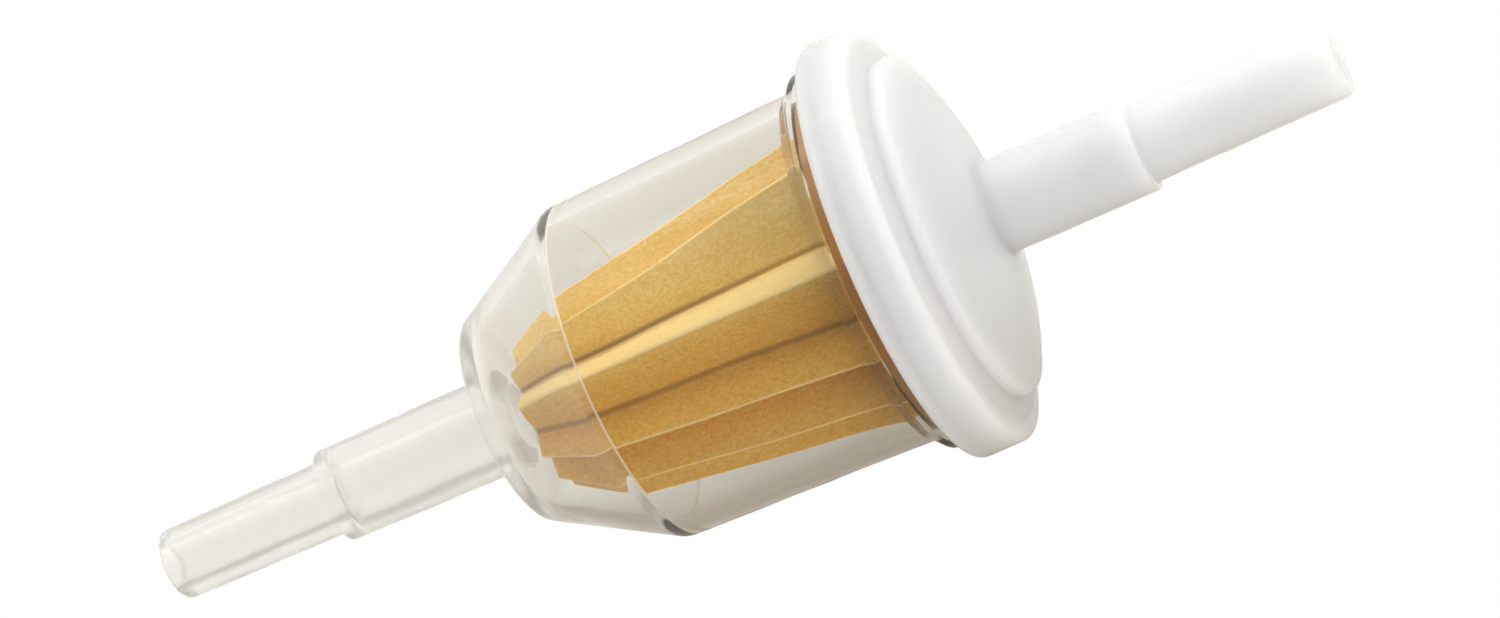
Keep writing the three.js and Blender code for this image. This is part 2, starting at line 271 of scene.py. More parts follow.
class Nodes:
    """Short calls that add and join nodes in one material's tree."""

    def __init__(self, name: str) -> None:
        """Starts a material with a Principled shader on its surface."""
        self.material = bpy.data.materials.new(name)
        self.material.use_nodes = True
        self.tree = self.material.node_tree
        self.tree.nodes.clear()
        self.shader = self.add("ShaderNodeBsdfPrincipled")
        self.output = self.add("ShaderNodeOutputMaterial")
        self.link(self.shader.outputs["BSDF"], self.output.inputs["Surface"])

    def add(self, kind: str, **settings: object) -> bpy.types.Node:
        """A new node with its properties set."""
        node = self.tree.nodes.new(kind)
        for key, value in settings.items():
            setattr(node, key, value)
        return node

    def link(self, source: bpy.types.NodeSocket, target: bpy.types.NodeSocket) -> None:
        """Joins two sockets."""
        self.tree.links.new(source, target)

    def set(self, **values: object) -> None:
        """Sets the shader's own sockets, with _ for a space in a socket's name."""
        for key, value in values.items():
            self.shader.inputs[key.replace("_", " ")].default_value = value

    def place(self, stretch: tuple[float, float, float] = (1, 1, 1)) -> bpy.types.NodeSocket:
        """Object coordinates, stretched along each axis."""
        coordinate = self.add("ShaderNodeTexCoord")
        mapping = self.add("ShaderNodeMapping")
        mapping.inputs["Scale"].default_value = stretch
        self.link(coordinate.outputs["Object"], mapping.inputs["Vector"])
        return mapping.outputs["Vector"]

    def noise(
        self,
        scale: float,
        detail: float = 3.0,
        roughness: float = 0.5,
        stretch: tuple[float, float, float] = (1, 1, 1),
    ) -> bpy.types.NodeSocket:
        """Value of a noise pattern with a number of features per metre."""
        texture = self.add("ShaderNodeTexNoise")
        texture.inputs["Scale"].default_value = scale
        texture.inputs["Detail"].default_value = detail
        texture.inputs["Roughness"].default_value = roughness
        self.link(self.place(stretch), texture.inputs["Vector"])
        return texture.outputs["Fac"]

    def spread(
        self, value: bpy.types.NodeSocket, source: tuple[float, float], target: tuple[float, float]
    ) -> bpy.types.NodeSocket:
        """A value carried from one range to another and held inside it."""
        node = self.add("ShaderNodeMapRange", clamp=True)
        for name, number in zip(("From Min", "From Max", "To Min", "To Max"), (*source, *target)):
            node.inputs[name].default_value = number
        self.link(value, node.inputs["Value"])
        return node.outputs["Result"]

    def mix(
        self,
        share: bpy.types.NodeSocket,
        first: bpy.types.NodeSocket | Colour,
        second: bpy.types.NodeSocket | Colour,
    ) -> bpy.types.NodeSocket:
        """Two colours mixed by a share."""
        node = self.add("ShaderNodeMix", data_type="RGBA")
        self.link(share, node.inputs[0])
        for value, socket in ((first, node.inputs[6]), (second, node.inputs[7])):
            if isinstance(value, tuple):
                socket.default_value = value
            else:
                self.link(value, socket)
        return node.outputs[2]

    def bump(self, height: bpy.types.NodeSocket, strength: float, depth: float) -> None:
        """Puts a height pattern, depth metres high, on the shader's normal."""
        node = self.add("ShaderNodeBump")
        node.inputs["Strength"].default_value = strength
        node.inputs["Distance"].default_value = depth
        self.link(height, node.inputs["Height"])
        self.link(node.outputs["Normal"], self.shader.inputs["Normal"])


@dataclass(frozen=True)
class Finish:
    """A finish: its material slot and how its material is made."""

    slot: str

    def material(self) -> bpy.types.Material:
        """The finish's material."""
        raise NotImplementedError


@dataclass(frozen=True)
class ClearPlastic(Finish):
    """Unpigmented moulding: clear and faintly cloudy, a little warm."""

    slot: str = "clear_plastic"
    name: str = "clear_plastic"
    colour: Colour = (0.938, 0.931, 0.908, 1)
    cloud: float = 0.008
    roughness: float = 0.04
    coat: float = 0.0
    bending: float = 1.2

    def material(self) -> bpy.types.Material:
        """A glass-like shader with a fine orange-peel bump."""
        nodes = Nodes(self.name)
        nodes.set(
            Base_Color=self.colour,
            Roughness=self.roughness,
            IOR=self.bending,
            Transmission_Weight=1.0 - self.cloud,
            Coat_Weight=self.coat,
            Coat_Roughness=0.08,
        )
        nodes.bump(nodes.noise(260, 2.0), 0.06, 0.0002)
        return nodes.material


@dataclass(frozen=True)
class MilkyPlastic(Finish):
    """Milky moulding: satin, slightly see-through, with a fine spark-eroded grain."""

    slot: str = "milky_plastic"
    light: Colour = (0.955, 0.96, 0.96, 1)
    dark: Colour = (0.935, 0.94, 0.94, 1)

    def material(self) -> bpy.types.Material:
        """A subsurface shader whose grain shows in its bump and roughness."""
        nodes = Nodes("milky_plastic")
        nodes.set(
            IOR=1.5,
            Subsurface_Weight=1.0,
            Subsurface_Radius=(1.0, 0.97, 0.92),
            Subsurface_Scale=0.008,
            Transmission_Weight=0.08,
        )
        cloud = nodes.noise(120, 3.0)
        nodes.link(
            nodes.mix(nodes.spread(cloud, (0.35, 0.65), (0, 1)), self.dark, self.light),
            nodes.shader.inputs["Base Color"],
        )
        grain = nodes.noise(3800, 4.0, 0.6)
        nodes.link(
            nodes.spread(grain, (0.3, 0.7), (0.14, 0.22)), nodes.shader.inputs["Roughness"]
        )
        nodes.bump(grain, 0.12, 0.00003)
        return nodes.material


@dataclass(frozen=True)
class FilterPaper(Finish):
    """Resin-treated filter paper: fibrous, golden on one side and browner on the other as painted light
    and shade.
    """

    slot: str = "filter_paper"
    # Speckle tones of the shaded copy, painted shade, then of the lit copy, painted light.
    shaded_side_deep: Colour = (0.72, 0.38, 0.05, 1)
    shaded_side_pale: Colour = (0.86, 0.53, 0.13, 1)
    lit_side_deep: Colour = (0.91, 0.59, 0.15, 1)
    lit_side_pale: Colour = (0.97, 0.74, 0.28, 1)
    # Painted highlight, on the fold crests and in the band across Object Y.
    crest: Colour = (0.96, 0.80, 0.44, 1)
    # Painted shade in the fold valleys.
    valley: Colour = (0.36, 0.17, 0.03, 1)
    # Span of Object Y where the painted shade of one side turns into the painted light of the other.
    turn: tuple[float, float] = (-0.0005, 0.002)
    # Painted highlight: a band across Object Y, where it rises, where it falls and how strong it is.
    highlight_band_start: tuple[float, float] = (0.0006, 0.0011)
    highlight_band_end: tuple[float, float] = (0.0023, 0.0028)
    highlight_band_share: float = 0.45

    def material(self) -> bpy.types.Material:
        """Fibre speckle over a tan and a golden copy, lighter on crests and darker in valleys.

        The golden copy is painted light and the tan copy painted shade; the lighter crests are a
        painted highlight and the darker valleys painted shade. The change of colour and a band of
        painted highlight lie at set heights on Object Y, on both sides of the cone, and don't follow
        the folds.
        """
        nodes = Nodes("filter_paper")
        nodes.set(Roughness=0.85, IOR=1.45, Specular_IOR_Level=0.1)
        fibres = nodes.noise(3800, 6.0, 0.7, (0.7, 1, 1))
        stain = nodes.noise(160, 3.0)
        speckle = nodes.spread(fibres, (0.41, 0.59), (0, 1))
        # Shaded copy of the speckled paper, painted shade, and lit copy, painted light.
        tan = nodes.mix(speckle, self.shaded_side_deep, self.shaded_side_pale)
        lit_side_colour = nodes.mix(speckle, self.lit_side_deep, self.lit_side_pale)
        split = nodes.add("ShaderNodeSeparateXYZ")
        nodes.link(nodes.place(), split.inputs["Vector"])
        # Painted light and shade: the shaded copy towards -Y, the lit copy towards +Y.
        side = nodes.spread(split.outputs["Y"], self.turn, (0, 1))
        tan = nodes.mix(side, tan, lit_side_colour)
        tan = nodes.mix(nodes.spread(stain, (0.4, 0.75), (0, 0.3)), tan, self.shaded_side_deep)
        # Painted highlight: a band at set heights on Object Y, in the crest colour.
        above = nodes.spread(split.outputs["Y"], self.highlight_band_start, (0, self.highlight_band_share))
        below = nodes.spread(split.outputs["Y"], self.highlight_band_end, (1, 0))
        streak = nodes.add("ShaderNodeMath", operation="MULTIPLY")
        nodes.link(above, streak.inputs[0])
        nodes.link(below, streak.inputs[1])
        tan = nodes.mix(streak.outputs[0], tan, self.crest)
        fold = nodes.add("ShaderNodeAttribute", attribute_name="fold").outputs["Fac"]
        # Painted highlight on the crests and painted shade in the valleys.
        crest = nodes.spread(fold, (0.6, 1.0), (0, 0.75))
        valley = nodes.spread(fold, (-0.3, -1.0), (0, 0.85))
        tan = nodes.mix(valley, tan, self.valley)
        tan = nodes.mix(crest, tan, self.crest)
        nodes.link(tan, nodes.shader.inputs["Base Color"])
        nodes.bump(fibres, 0.5, 0.0001)
        return nodes.material


@dataclass(frozen=True)
class AmberPlastic(Finish):
    """Translucent brown moulding of the mouth ring, its tint partly its own and partly painted shade."""

    slot: str = "amber_plastic"
    # Partly the ring's own brown and partly painted shade on the paper seen through it.
    colour: Colour = (0.82, 0.43, 0.13, 1)

    def material(self) -> bpy.types.Material:
        """A blurred glass-like shader with a brown tint."""
        nodes = Nodes("amber_plastic")
        nodes.set(
            Base_Color=self.colour,
            Roughness=0.3,
            IOR=1.4,
            Transmission_Weight=0.55,
            Specular_IOR_Level=0.2,
        )
        nodes.bump(nodes.noise(420, 3.0), 0.1, 0.0002)
        return nodes.material


@dataclass(frozen=True)
class SetAdhesive(Finish):
    """Adhesive that has set: satin, slightly mottled."""

    slot: str = "hot_melt"
    light: Colour = (0.82, 0.74, 0.56, 1)
    dark: Colour = (0.70, 0.58, 0.38, 1)

    def material(self) -> bpy.types.Material:
        """Two close colours mottled together, with a soft bump."""
        nodes = Nodes(self.slot)
        nodes.set(Roughness=0.42, IOR=1.48, Subsurface_Weight=0.25, Subsurface_Scale=0.0008)
        mottle = nodes.noise(700, 4.0)
        nodes.link(
            nodes.mix(nodes.spread(mottle, (0.35, 0.65), (0, 1)), self.dark, self.light),
            nodes.shader.inputs["Base Color"],
        )
        nodes.bump(mottle, 0.4, 0.0001)
        return nodes.material


class Look(Enum):
    """The finishes of the filter's pieces."""

    CLEAR = ClearPlastic()
    CLOUDY = ClearPlastic(name="cloudy_plastic", cloud=0.18, roughness=0.24, coat=0.3)
    CONE = ClearPlastic(name="cone_plastic", colour=(0.895, 0.89, 0.87, 1), cloud=0.05)
    SPIGOT = ClearPlastic(
        name="spigot_plastic",
        colour=(0.87, 0.865, 0.85, 1),
        cloud=0.18,
        roughness=0.22,
        coat=0.3,
        bending=1.35,
    )
    # Painted highlight: a creamy, cloudy band along the bowl's inner edge.
    EDGE_HIGHLIGHT = ClearPlastic(
        name="painted_edge_highlight", colour=(0.98, 0.94, 0.82, 1), cloud=0.5, roughness=0.3
    )
    MILKY = MilkyPlastic()
    PAPER = FilterPaper()
    AMBER = AmberPlastic()
    PLUG = SetAdhesive()
    SEAM = SetAdhesive("seam_glue", (0.78, 0.60, 0.32, 1), (0.66, 0.46, 0.20, 1))
    WELD = SetAdhesive("weld_plastic", (0.80, 0.78, 0.72, 1), (0.68, 0.64, 0.56, 1))


# ---------------------------------------------------------------------------
# Sub-assemblies
# ---------------------------------------------------------------------------


@dataclass(frozen=True)
class Spigot:
    """A stepped hose spigot with a through bore, from its root to its tip."""

    root: float
    way: int  # -1 or +1 along the axis
    small_length: float
    big_length: float
    tip_radius: float
    small_root_radius: float
    big_end_radius: float
    big_root_radius: float
    small_bore: float
    big_bore: float
    tip_round: float = 1.1
    shoulder_round: float = 0.5

    @property
    def shoulder(self) -> float:
        """Station of the step between the two outer sizes."""
        return self.root + self.way * self.big_length

    @property
    def tip(self) -> float:
        """Station of the open end."""
        return self.shoulder + self.way * self.small_length

    def outside(self) -> list[Corner]:
        """Corners of the outer face, from the tip's bore edge to the big end."""
        return [
            (self.tip, self.small_bore, 0.2),
            (self.tip, self.tip_radius, self.tip_round),
            (self.shoulder, self.small_root_radius, 0.25),
            (self.shoulder, self.big_end_radius, self.shoulder_round),
        ]

    def bore(self, inside: float) -> list[Corner]:
        """Corners of the stepped bore, from where it opens inside to its small end."""
        step = self.root + self.way * (self.big_length - WALL)
        return [
            (inside, self.big_bore, 0.3),
            (step, self.big_bore, 0.35),
            (step, self.small_bore, 0.25),
        ]


@dataclass
class Bowl:
    """Clear bowl: hose spigot, flat base, cone, drafted cylinder and collar."""

    spigot: Spigot = Spigot(0.0, -1, 15.75, 16.75, 3.14, 3.26, 4.09, 4.23, 1.75, 2.75)
    base_radius: float = 8.98
    base_round: float = 1.45
    base_wall: float = 1.6
    cone_length: float = 10.9
    shoulder_radius: float = 15.0
    shoulder_round: float = 0.5
    crisp: float = 0.03
    mouth_radius: float = 15.62
    body_length: float = 33.7
    chamfer_length: float = 1.26
    collar_step: float = 1.23
    collar_length: float = 4.5
    pocket_depth: float = 3.35
    pocket_wall: float = 1.95
    cloudy_end: float = 2.8
    # Half width of the painted highlight band at the inner edge.
    edge_highlight_width: float = 0.13
    turns: int = 288

    @property
    def mouth_end(self) -> float:
        """Station of the open end."""
        return self.body_length + self.collar_length

    @property
    def collar_radius(self) -> float:
        """Outer radius of the collar."""
        return self.mouth_radius + self.collar_step

    @property
    def pocket_radius(self) -> float:
        """Radius of the pocket that the mouth ring stands in."""
        return self.collar_radius - self.pocket_wall

    @property
    def pocket_floor(self) -> float:
        """Station of the pocket's floor."""
        return self.mouth_end - self.pocket_depth

    @property
    def cone_slope(self) -> float:
        """Growth of the cone's radius for each millimetre along the axis."""
        return (self.shoulder_radius - self.base_radius) / self.cone_length

    @property
    def draft(self) -> float:
        """Growth of the cylinder's radius for each millimetre along the axis."""
        return (self.mouth_radius - self.shoulder_radius) / (self.body_length - self.cone_length)

    def inner_cone(self, station: float) -> float:
        """Radius inside the cone, one wall in from its outer face."""
        slope = self.cone_slope
        return self.base_radius + slope * station - WALL * math.hypot(1, slope)

    def outer_body(self, run: float) -> float:
        """Radius of the cylinder's outer face, a run on from its start."""
        return self.shoulder_radius + self.draft * run

    def inner_body(self, station: float) -> float:
        """Radius inside the cylinder, one wall in from its outer face."""
        outer = self.outer_body(station - self.cone_length)
        return outer - WALL * math.hypot(1, self.draft)

    @property
    def inner_corner(self) -> float:
        """Station where the insides of the cone and the cylinder meet."""
        return (self.inner_body(0) - self.inner_cone(0)) / (self.cone_slope - self.draft)

    def outline(self) -> np.ndarray:
        """The bowl's closed half section."""
        corners = [
            *self.spigot.outside(),
            (0.0, self.spigot.big_root_radius, 0.35),
            (0.0, self.base_radius, self.base_round),
            (self.cone_length, self.shoulder_radius, self.shoulder_round + WALL),
            (self.body_length, self.mouth_radius, self.crisp),
            (self.body_length + self.chamfer_length, self.collar_radius, self.crisp),
            (self.mouth_end, self.collar_radius, 0.2),
            (self.mouth_end, self.pocket_radius, 0.2),
            (self.pocket_floor, self.pocket_radius, self.crisp),
            (self.pocket_floor, self.inner_body(self.pocket_floor), self.crisp),
            (self.inner_corner, self.inner_body(self.inner_corner), self.shoulder_round),
            (self.base_wall, self.inner_cone(self.base_wall), self.base_round / 2),
            *self.spigot.bore(self.base_wall),
        ]
        return cut_finely(rounded_outline(corners, 6, 0.12), 1.1)

    def zones(self, surface: Surface) -> np.ndarray:
        """Finish of each face: clear on the cylinder, a little hazy on the cone, cloudy on
        the base and the spigot, a creamy cloudy band of painted highlight along the inner edge of cone
        and cylinder."""
        middle = surface.points[surface.quads].mean(axis=1)
        station = middle[:, 0]
        radius = np.hypot(middle[:, 1], middle[:, 2])
        # Painted highlight band along the inner edge of cone and cylinder.
        edge = np.abs(station - self.inner_corner) < self.edge_highlight_width
        edge &= radius < self.shoulder_radius - WALL / 2
        ends = [edge, station < -0.1, station < self.cloudy_end, station < self.cone_length]
        return np.select(ends, [3, 2, 1, 4], 0)

    def build(self) -> None:
        """Makes the bowl."""
        surface = turned(self.outline(), self.turns, 0.012)
        surface.zones = self.zones(surface)
        others = tuple(
            look.value for look in (Look.CLOUDY, Look.SPIGOT, Look.EDGE_HIGHLIGHT, Look.CONE)
        )
        bowl = add_piece("filter_bowl", surface, Look.CLEAR.value, ("bowl",), others=others)
        bowl.visible_shadow = False


@dataclass
class Cap:
    """Milky cap: skirt over the collar, rim, shallow dome, hose spigot and weld."""

    bowl: Bowl
    skirt_wall: float = 1.6
    skirt_round: float = 0.88
    face_round: float = 0.67
    skirt_lap: float = 1.8
    rim_wall: float = 1.2
    face_rise: float = 0.66
    ledge: float = 3.43
    dome_height: float = 4.52
    dome_sphere: float = 35.66
    dome_round: float = 1.85
    root_round: float = 0.8
    ring_flange: float = 1.2
    ring_skirt: float = 0.9
    ring_opening: float = 7.6
    groove_width: float = 0.9
    groove_depth: float = 0.5
    from_mouth_end: float = 0.1
    turns: int = 288

    @property
    def skirt_bore(self) -> float:
        """Inner radius of the skirt."""
        return self.bowl.collar_radius + SEAM_GAP

    @property
    def rim_radius(self) -> float:
        """Outer radius of the rim."""
        return self.skirt_bore + self.skirt_wall

    @property
    def ring_face(self) -> float:
        """Station where the mouth ring's flange starts."""
        return self.bowl.mouth_end + SEAM_GAP

    @property
    def seat(self) -> float:
        """Station of the seat over the mouth ring's flange."""
        return self.ring_face + self.ring_flange + SEAM_GAP

    @property
    def dome_top(self) -> float:
        """Station of the dome's top, were it not for the spigot."""
        return self.seat + self.rim_wall + self.face_rise + self.dome_height

    @property
    def spigot(self) -> Spigot:
        """The cap's hose spigot."""
        return Spigot(self.dome_top, 1, 17.7, 13.08, 3.14, 3.35, 3.98, 4.0, 1.75, 2.6)

    def dome(self, sphere: float, drop: float, radii: np.ndarray) -> list[Corner]:
        """Points of a sphere cap: the drop from its top is R - sqrt(R^2 - r^2)."""
        station = self.dome_top - drop - (sphere - np.sqrt(sphere**2 - radii**2))
        return [(float(s), float(r), 0.0) for s, r in zip(station, radii)]

    def outline(self) -> np.ndarray:
        """The cap's closed half section."""
        skirt_edge = self.bowl.mouth_end - self.skirt_lap
        rim_face = self.seat + self.rim_wall
        dome_radius = self.rim_radius - self.ledge
        inside_edge = dome_radius - WALL
        groove_end = self.bowl.mouth_end - self.from_mouth_end
        groove_start = groove_end - self.groove_width
        groove_radius = self.skirt_bore + self.groove_depth
        spigot = self.spigot
        over = np.linspace(dome_radius - 1.15 * self.dome_round, spigot.big_root_radius + 1.2, 12)
        under = np.linspace(inside_edge - 0.8, spigot.big_bore, 10)
        edge = self.dome(self.dome_sphere, 0, np.array([dome_radius]))[0]
        root = self.dome(self.dome_sphere, 0, np.array([spigot.big_root_radius]))[0]
        inside = self.dome(self.dome_sphere - WALL, WALL, under)
        corners = [
            (skirt_edge, self.skirt_bore, 0.15),
            (skirt_edge, self.rim_radius, self.skirt_round),
            (rim_face, self.rim_radius - 0.1, self.face_round),
            (rim_face + 0.12, self.rim_radius - 1.6, 0.6),
            (rim_face + self.face_rise, dome_radius, 0.25),
            (edge[0], edge[1], self.dome_round),
            *self.dome(self.dome_sphere, 0, over),
            (root[0], root[1], self.root_round),
            *spigot.outside()[::-1],
            *spigot.bore(inside[-1][0])[::-1],
            *inside[:-1][::-1],
            (self.seat + 0.6, inside_edge, 0.3),
            (self.seat, inside_edge, 0.15),
            (self.seat, self.skirt_bore, 0.15),
            (groove_end, self.skirt_bore, 0.08),
            (groove_end, groove_radius, 0.1),
            (groove_start, groove_radius, 0.1),
            (groove_start, self.skirt_bore, 0.08),
        ]
        return cut_finely(rounded_outline(corners, 6, 0.12), 1.1)

    def mouth_ring(self) -> np.ndarray:
        """Closed half section of the ring that holds the paper's open end."""
        outer = self.bowl.pocket_radius - SEAM_GAP
        inner = outer - self.ring_skirt
        flange_outer = self.skirt_bore - SEAM_GAP
        flange_end = self.ring_face + self.ring_flange
        start = self.bowl.pocket_floor + SEAM_GAP
        corners = [
            (start, inner, 0.15),
            (start, outer, 0.15),
            (self.ring_face, outer, 0.1),
            (self.ring_face, flange_outer, 0.15),
            (flange_end, flange_outer, 0.2),
            (flange_end, self.ring_opening, 0.3),
            (self.ring_face, self.ring_opening, 0.3),
            (self.ring_face, inner, 0.15),
        ]
        return cut_finely(rounded_outline(corners, 5, 0.1), 0.8)

    def weld(self) -> np.ndarray:
        """Closed half section of the melted ring between skirt and collar."""
        start = self.bowl.mouth_end - self.from_mouth_end - self.groove_width + SEAM_GAP
        end = start + self.groove_width - 2 * SEAM_GAP
        inner = self.bowl.collar_radius + SEAM_GAP / 2
        outer = self.skirt_bore + self.groove_depth - SEAM_GAP
        corners = [(start, inner, 0.1), (start, outer, 0.2), (end, outer, 0.2), (end, inner, 0.1)]
        return rounded_outline(corners, 4, 0.1)

    def build(self) -> None:
        """Makes the cap, the mouth ring and the weld."""
        add_piece("filter_cap", turned(self.outline(), self.turns, 0.01), Look.MILKY.value, ("cap",))
        ring = turned(self.mouth_ring(), self.turns, 0.01)
        add_piece("paper_mouth_ring", ring, Look.AMBER.value, ("mouth_ring",))
        weld = turned(self.weld(), self.turns, 0.015)
        add_piece("collar_weld", weld, Look.WELD.value, ("weld_ring",))


@dataclass
class PaperCone:
    """Pleated paper: a star with straight folds, gathered in at its closed end."""

    bowl: Bowl
    cap: Cap
    thickness: float = 0.55
    bend_length: float = 4.8
    closed_gap: float = 1.9
    open_peak: float = 13.3
    bend_peak: float = 9.37
    closed_peak: float = 6.6
    open_ratio: float = 0.7
    closed_ratio: float = 0.62
    open_lean: float = 0.5
    closed_lean: float = 1.2
    gather_lean: float = 0.35
    crest_reach: float = 0.6
    valley_reach: float = 0.6
    bow: float = 0.12
    open_crests: tuple[float, ...] = (-82, -52.5, -5, 32, 55, 88, 121, 154, 186, 217, 248)
    closed_crests: tuple[float, ...] = (-78, -43, -13, 28, 56, 88, 121, 153, 186, 218, 250)
    open_shifts: tuple[float, ...] = (0, 9, 6.5, 0, 0, 0, 0, 0, 0, 0, 0)
    closed_shifts: tuple[float, ...] = (0, -8, 5, 0, 0, 0, 0, 0, 0, 0, 0)
    seam_pleat: int = 8
    seed: int = 5

    @property
    def start(self) -> float:
        """Station of the closed end."""
        return self.bowl.base_wall + self.closed_gap

    @property
    def bend(self) -> float:
        """Station where the gathered end starts."""
        return self.start + self.bend_length

    @property
    def end(self) -> float:
        """Station of the open end."""
        return self.cap.ring_face - SEAM_GAP

    def stations(self) -> np.ndarray:
        """Stations of the sections: the gathered end, then the rest."""
        gather = np.linspace(self.start, self.bend, 14)
        straight = np.linspace(self.bend, self.end, 64)[1:]
        return np.concatenate([gather, straight])

    def corners(self, x: np.ndarray) -> np.ndarray:
        """Sharp corners of the star, crest and valley by turns.

        A crest lies at its own angle at the peak radius, and a valley near half way
        between two crests at a share of it. The peak radius grows evenly from the closed
        end to the bend, then less steeply to the mouth ring, inside which it stays the
        same. Each fold wavers by three slow waves with seeded phases.

        Args:
            x: stations.

        Returns:
            Array (station, corner, 2) of y and z.
        """
        rng = np.random.default_rng(self.seed)
        along = ((x - self.start) / (self.end - self.start))[:, None]
        straight = ((x - self.bend) / (self.bowl.pocket_floor - self.bend))[:, None]
        inward = np.clip((self.bend - x) / self.bend_length, 0, 1)[:, None]
        peak = self.bend_peak + (self.open_peak - self.bend_peak) * np.clip(straight, 0, 1)
        peak = peak - inward * (self.bend_peak - self.closed_peak)
        lean = self.closed_lean + (self.open_lean - self.closed_lean) * along
        lean = lean - self.gather_lean * inward
        opened = np.array([self.open_crests, self.open_shifts])[:, None]
        closed = np.array([self.closed_crests, self.closed_shifts])[:, None]
        crests, shifts = closed + (opened - closed) * along
        following = np.concatenate([crests[:, 1:], crests[:, :1] + 360], axis=1)
        ratio = self.closed_ratio + (self.open_ratio - self.closed_ratio) * along
        valleys = (crests + following) / 2 + shifts
        angle = np.stack([crests, valleys], axis=2).reshape(len(x), -1)
        count = angle.shape[1]
        crest = np.arange(count) % 2 == 0
        radius = np.where(crest, peak, peak * ratio)
        pace = rng.uniform(0.12, 0.5, (3, count))
        phase = rng.uniform(0, 2 * math.pi, (3, count))
        waves = np.sin(x[:, None, None] * pace + phase).sum(axis=1)
        radius = radius + np.where(crest, 0.05, 0.1) * waves
        turn = np.radians(angle)
        return np.stack([-radius * np.sin(turn) - lean, radius * np.cos(turn)], axis=2)

    def moved_in(self, corners: np.ndarray, distance: float) -> np.ndarray:
        """Each corner where its two sides meet once both are moved in by a distance."""
        before = corners - np.roll(corners, 1, axis=1)
        after = np.roll(corners, -1, axis=1) - corners
        before = before / np.linalg.norm(before, axis=2, keepdims=True)
        after = after / np.linalg.norm(after, axis=2, keepdims=True)
        in_before = np.stack([-before[..., 1], before[..., 0]], axis=2)
        in_after = np.stack([-after[..., 1], after[..., 0]], axis=2)
        meet = 1 + (in_before * in_after).sum(axis=2, keepdims=True)
        return corners + (in_before + in_after) * distance / meet

    def folded(self, corners: np.ndarray) -> tuple[np.ndarray, np.ndarray]:
        """The star with its corners rounded and its facets slightly bowed.

        A corner is a quadratic curve between the points one reach back along its sides,
        (1-u)^2 A + 2u(1-u) P + u^2 B. A facet is straight between two such curves, plus
        a bow of sin(pi f) square to it.

        Args:
            corners: array (station, corner, 2).

        Returns:
            The outline, array (station, point, 2), and the fold value of each point: 1 on
            a crest, -1 in a valley, 0 on a facet.
        """
        count = corners.shape[1]
        crest = np.arange(count) % 2 == 0
        back = np.roll(corners, 1, axis=1) - corners
        ahead = np.roll(corners, -1, axis=1) - corners
        back_length = np.linalg.norm(back, axis=2, keepdims=True)
        ahead_length = np.linalg.norm(ahead, axis=2, keepdims=True)
        wanted = np.where(crest, self.crest_reach, self.valley_reach)[None, :, None]
        reach = np.minimum(wanted, 0.3 * np.minimum(back_length, ahead_length))
        first = corners + back / back_length * reach
        last = corners + ahead / ahead_length * reach
        u = np.linspace(0, 1, 9)[None, None, :, None]
        curve = (
            (1 - u) ** 2 * first[:, :, None]
            + 2 * u * (1 - u) * corners[:, :, None]
            + u**2 * last[:, :, None]
        )
        f = np.linspace(0, 1, 8)[1:-1][None, None, :, None]
        following = np.roll(first, -1, axis=1)
        facet = last[:, :, None] * (1 - f) + following[:, :, None] * f
        square = np.stack([ahead[..., 1], -ahead[..., 0]], axis=2) / ahead_length
        facet = facet + square[:, :, None] * self.bow * np.sin(math.pi * f)
        sign = np.where(crest, 1.0, -1.0)[None, :, None]
        near = np.exp(-((np.abs(u[..., 0] - 0.5) * 1.5) ** 2) * 3) * sign
        near = np.broadcast_to(near, curve.shape[:3])
        edge = math.exp(-((0.5 * 1.5) ** 2) * 3)
        away = sign * edge * (1 - f[..., 0]) ** 3
        away = away - sign * edge * f[..., 0] ** 3
        away = np.broadcast_to(away, facet.shape[:3])
        outline = np.concatenate([curve, facet], axis=2)
        fold = np.concatenate([near, away], axis=2)
        return outline.reshape(len(corners), -1, 2), fold.reshape(len(corners), -1)

    def paper(self) -> Surface:
        """The sheet: its outer and inner faces, joined along both ends."""
        x = self.stations()
        sharp = self.corners(x)
        outer, fold = self.folded(sharp)
        inner, _ = self.folded(self.moved_in(sharp, self.thickness))
        section = np.concatenate([outer, inner[::-1]])
        station = np.concatenate([x, x[::-1]])[:, None, None]
        rows, columns, _ = section.shape
        points = np.concatenate([np.broadcast_to(station, (rows, columns, 1)), section], axis=2)
        folds = np.concatenate([fold, fold[::-1]]).ravel()
        return Surface(
            points.reshape(-1, 3), grid_faces(rows, columns, True), attributes={"fold": folds}
        )

    def plug(self) -> Surface:
        """Adhesive that fills the gathered end, with a domed face at each end.

        Rings shrink towards the middle by cos(q) while the face rises by sin(q).
        """
        inset, length, dome = 0.4, 1.6, 0.35
        quarter = np.linspace(math.pi / 2 * 0.96, 0, 8)
        shares = np.concatenate([np.cos(quarter), np.cos(quarter[::-1])])
        lift = np.concatenate([-np.sin(quarter) * dome, np.sin(quarter[::-1]) * dome])
        flat = self.start + inset
        x = np.concatenate([np.full(8, flat + dome), np.full(8, flat + length - dome)])
        clear = self.thickness + SEAM_GAP
        outline, _ = self.folded(self.moved_in(self.corners(x), clear))
        middle = outline.mean(axis=1, keepdims=True)
        outline = middle + (outline - middle) * shares[:, None, None]
        station = np.broadcast_to((x + lift)[:, None, None], (*outline.shape[:2], 1))
        return filled_tube(np.concatenate([station, outline], axis=2))

